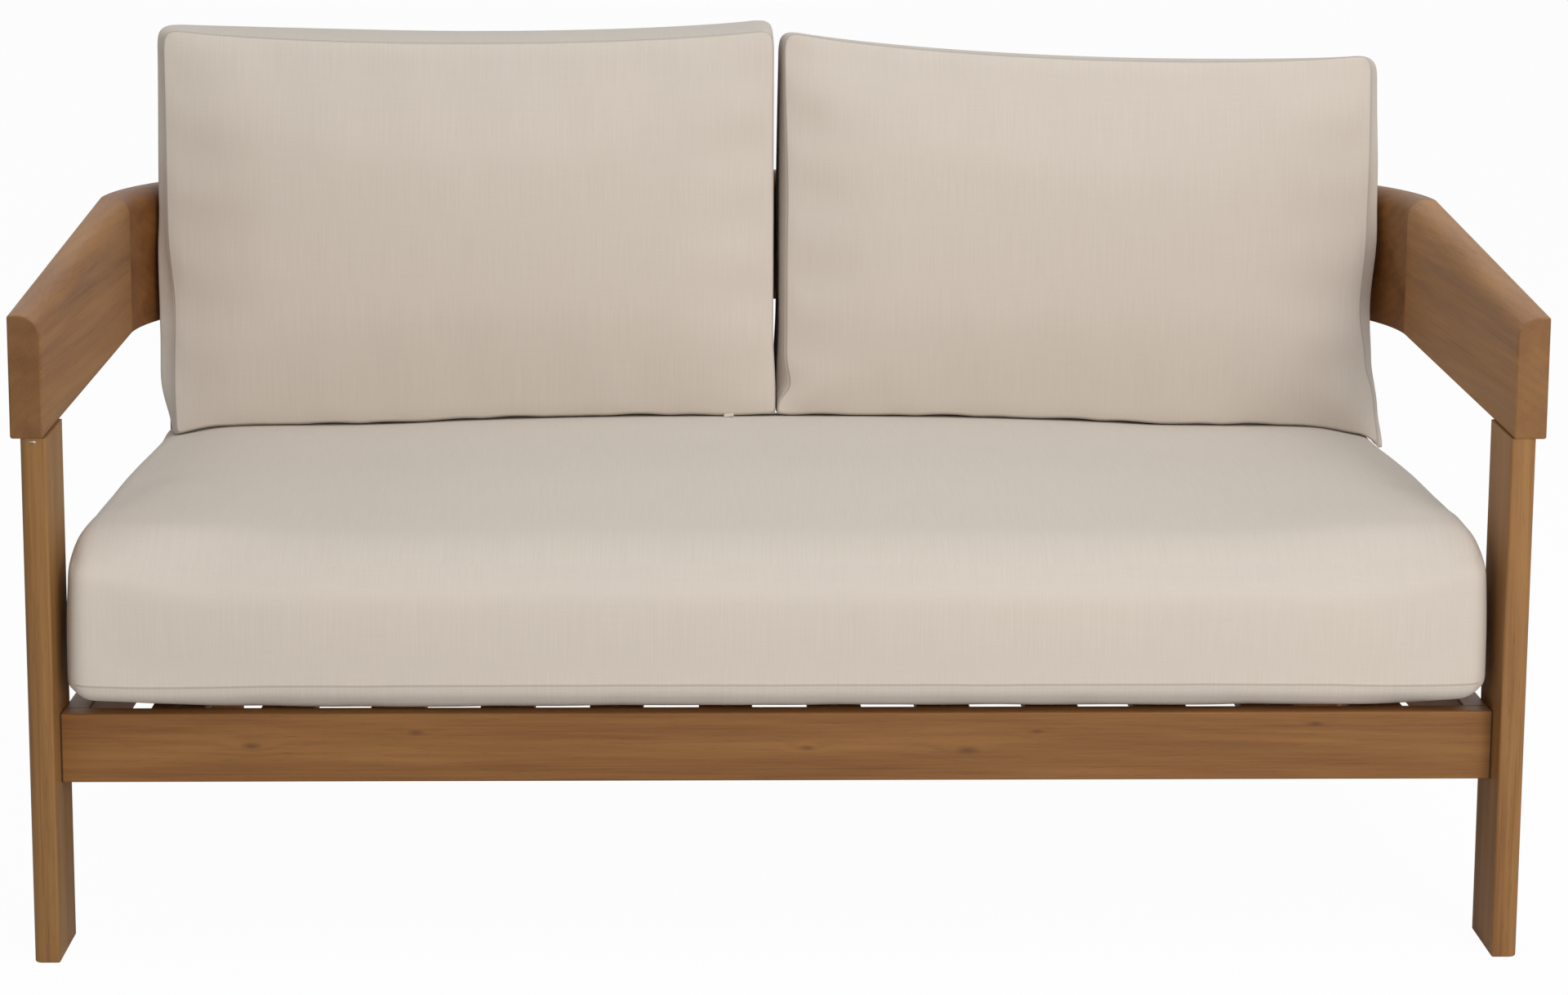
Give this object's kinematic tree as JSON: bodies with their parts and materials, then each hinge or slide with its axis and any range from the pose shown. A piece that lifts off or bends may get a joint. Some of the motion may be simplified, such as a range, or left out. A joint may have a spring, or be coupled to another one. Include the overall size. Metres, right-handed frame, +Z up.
{
  "type": "patio loveseat",
  "caption": "Wooden patio loveseat with a flat curved band for arms and back, board legs, slatted seat, one long seat cushion and loose back pillows.",
  "frame": {"origin": "on the floor, under the middle of the loveseat's plan", "axes": "+X along the width, towards the right seen from the front; -Y is the front; +Z up"},
  "size_m": [1.45, 0.768, 0.8683],
  "materials": {
    "acacia": "oiled brown acacia with a soft sheen",
    "linen_cover": "plain weave with slubs, matte",
    "foam": "open-cell foam",
    "fibre_fill": "loose polyester fibre",
    "zip": "woven tape",
    "dowel_beech": "plain",
    "zinc_steel": "zinc plated",
    "brass": "plain"
  },
  "bodies": {
    "frame": {"arm_left": "acacia", "arm_right": "acacia", "arm_screws": "zinc_steel", "back_rail": "acacia", "band_dowels": "dowel_beech", "cleat_screws": "zinc_steel", "corner_block_screws": "zinc_steel", "curved_corner_left": "acacia", "curved_corner_right": "acacia", "frame_bolts": "zinc_steel", "front_leg_left": "acacia", "front_leg_right": "acacia", "front_seat_rail": "acacia", "front_slat_cleat": "acacia", "leg_dowels": "dowel_beech", "leg_inserts": "brass", "rear_corner_block_left": "acacia", "rear_corner_block_right": "acacia", "rear_leg_left": "acacia", "rear_leg_right": "acacia", "rear_seat_rail": "acacia", "rear_slat_cleat": "acacia", "seat_rail_dowels": "dowel_beech", "seat_slat_01": "acacia", "seat_slat_02": "acacia", "seat_slat_03": "acacia", "seat_slat_04": "acacia", "seat_slat_05": "acacia", "seat_slat_06": "acacia", "seat_slat_07": "acacia", "seat_slat_08": "acacia", "seat_slat_09": "acacia", "seat_slat_10": "acacia", "seat_slat_11": "acacia", "seat_slat_12": "acacia", "side_seat_rail_left": "acacia", "side_seat_rail_right": "acacia", "slat_screws": "zinc_steel"},
    "seat_cushion": {"seat_cushion_cover": "linen_cover", "seat_cushion_foam": "foam", "seat_cushion_zip": "zip"},
    "left_pillow": {"left_pillow_cover": "linen_cover", "left_pillow_fill": "fibre_fill", "left_pillow_zip": "zip"},
    "right_pillow": {"right_pillow_cover": "linen_cover", "right_pillow_fill": "fibre_fill", "right_pillow_zip": "zip"}
  },
  "joints": [
    {"name": "seat_cushion_draw", "type": "slide", "parent": "frame", "child": "seat_cushion", "axis": [0, -0.9781, 0.2079], "range_m": [0, 0.68]},
    {"name": "left_pillow_lift", "type": "slide", "parent": "seat_cushion", "child": "left_pillow", "axis": [0, 0, 1], "range_m": [0, 0.3]},
    {"name": "right_pillow_lift", "type": "slide", "parent": "seat_cushion", "child": "right_pillow", "axis": [0, 0, 1], "range_m": [0, 0.3]}
  ]
}
